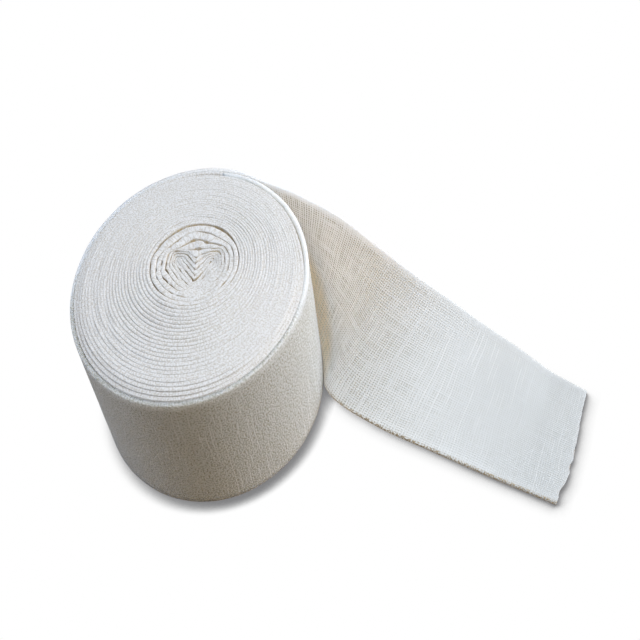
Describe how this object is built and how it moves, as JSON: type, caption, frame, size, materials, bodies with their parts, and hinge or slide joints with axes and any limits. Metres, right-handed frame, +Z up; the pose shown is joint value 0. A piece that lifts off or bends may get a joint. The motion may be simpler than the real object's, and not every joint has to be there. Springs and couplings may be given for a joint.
{
  "type": "tubular gauze bandage roll",
  "caption": "Soft roll of undyed knitted tubular gauze bandage standing on its end, its loose end twisting out to lie flat beside it.",
  "frame": {"origin": "middle of the roll's flat base, on the surface it stands on", "axes": "+Z up along the height of the roll; +X towards the cut end of the loose cloth; -Y is the front"},
  "size_m": [0.3389, 0.2256, 0.1074],
  "materials": {
    "roll_cotton": "matt undyed cotton knit",
    "end_cotton": "matt undyed cotton knit with slub threads"
  },
  "bodies": {
    "root": {"wound_roll": "roll_cotton", "loose_end": "end_cotton"}
  },
  "joints": []
}
